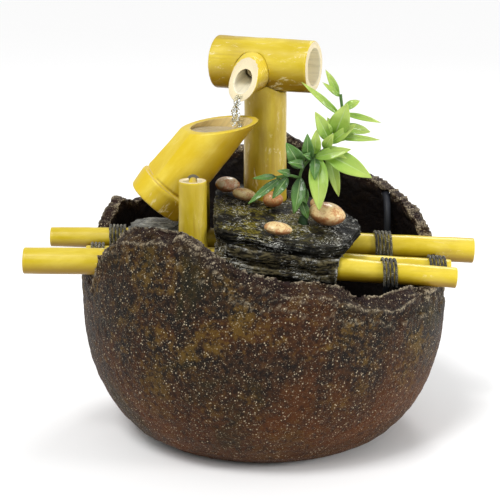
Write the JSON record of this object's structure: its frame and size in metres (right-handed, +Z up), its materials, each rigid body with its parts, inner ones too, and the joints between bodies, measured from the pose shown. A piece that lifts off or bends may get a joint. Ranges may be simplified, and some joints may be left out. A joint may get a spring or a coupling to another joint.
{
  "type": "tabletop fountain",
  "caption": "Tabletop fountain: a torn-rimmed stoneware pot bridged by bamboo poles and slates, a pump and riser, and a pivoted bamboo trough that fills, tips and knocks.",
  "frame": {"origin": "centre of the underside of the felt pad under the pot's foot, on the table", "axes": "+Z up, +X along the poles to the side where the lead leaves, -Y to the front, where the slates' thin edges are"},
  "size_m": [0.3065, 0.3265, 0.2673],
  "materials": {
    "bowl": "matte",
    "base_pad": "matte",
    "pole_front": "satin",
    "pole_back": "satin",
    "pole_middle": "satin",
    "lashing_front_right": "matte",
    "lashing_back_right": "matte",
    "lashing_back_left": "matte",
    "lashing_middle_left": "matte",
    "lashing_middle_right": "matte",
    "slate_lower": "matte",
    "slate_packer": "matte",
    "slate_top": "satin",
    "knock_stone": "matte",
    "pebbles": "satin",
    "pivot_post_front": "satin",
    "pivot_post_rear": "satin",
    "pivot_pin": "satin",
    "pivot_washers": "satin",
    "trough": "satin",
    "tail_plug": "matte",
    "tail_weight": "satin",
    "riser_tube": "satin",
    "head_tube": "satin",
    "spout_tube": "satin",
    "hose": "satin",
    "pump_housing": "matte",
    "stator_core": "satin",
    "stator_coil": "satin",
    "housing_lid": "matte",
    "pump_rotor": "matte",
    "rotor_shaft": "polished",
    "shaft_bush_inner": "matte",
    "shaft_bush_outer": "matte",
    "chamber_seal": "matte",
    "chamber_cover": "matte",
    "intake_cover": "matte",
    "flow_dial": "matte",
    "suction_cups": "satin",
    "cable_gland": "matte",
    "power_cord": "satin",
    "cord_coil": "satin",
    "cord_tie": "matte",
    "plug_body": "satin",
    "plug_pins": "satin",
    "plant_foot": "matte",
    "plant_stems": "satin",
    "leaves_left": "satin",
    "leaves_right": "satin"
  },
  "bodies": {
    "fountain": {"bowl": "bowl", "base_pad": "base_pad", "pole_front": "pole_front", "pole_back": "pole_back", "pole_middle": "pole_middle", "lashing_front_right": "lashing_front_right", "lashing_back_right": "lashing_back_right", "lashing_back_left": "lashing_back_left", "lashing_middle_left": "lashing_middle_left", "lashing_middle_right": "lashing_middle_right", "slate_lower": "slate_lower", "slate_packer": "slate_packer", "slate_top": "slate_top", "knock_stone": "knock_stone", "pebbles": "pebbles", "pivot_post_front": "pivot_post_front", "pivot_post_rear": "pivot_post_rear", "pivot_pin": "pivot_pin", "pivot_washers": "pivot_washers", "riser_tube": "riser_tube", "head_tube": "head_tube", "spout_tube": "spout_tube", "hose": "hose", "pump_housing": "pump_housing", "stator_core": "stator_core", "stator_coil": "stator_coil", "housing_lid": "housing_lid", "rotor_shaft": "rotor_shaft", "shaft_bush_inner": "shaft_bush_inner", "shaft_bush_outer": "shaft_bush_outer", "chamber_seal": "chamber_seal", "chamber_cover": "chamber_cover", "intake_cover": "intake_cover", "suction_cups": "suction_cups", "cable_gland": "cable_gland", "power_cord": "power_cord", "cord_coil": "cord_coil", "cord_tie": "cord_tie", "plug_body": "plug_body", "plug_pins": "plug_pins", "plant_foot": "plant_foot", "plant_stems": "plant_stems", "leaves_left": "leaves_left", "leaves_right": "leaves_right"},
    "tipping_trough": {"trough": "trough", "tail_plug": "tail_plug", "tail_weight": "tail_weight"},
    "impeller": {"pump_rotor": "pump_rotor"},
    "dial": {"flow_dial": "flow_dial"}
  },
  "joints": [
    {"name": "trough_tip", "type": "hinge", "parent": "fountain", "child": "tipping_trough", "pos_m": [-0.047, -0.012, 0.181], "axis": [0, 1, 0], "range_deg": [0, 45]},
    {"name": "impeller_spin", "type": "hinge", "parent": "fountain", "child": "impeller", "pos_m": [0.001, 0.0346, 0.039], "axis": [1, 0, 0], "continuous": true},
    {"name": "flow_turn", "type": "hinge", "parent": "fountain", "child": "dial", "pos_m": [-0.021, 0.0346, 0.039], "axis": [1, 0, 0], "range_deg": [0, 90]}
  ]
}
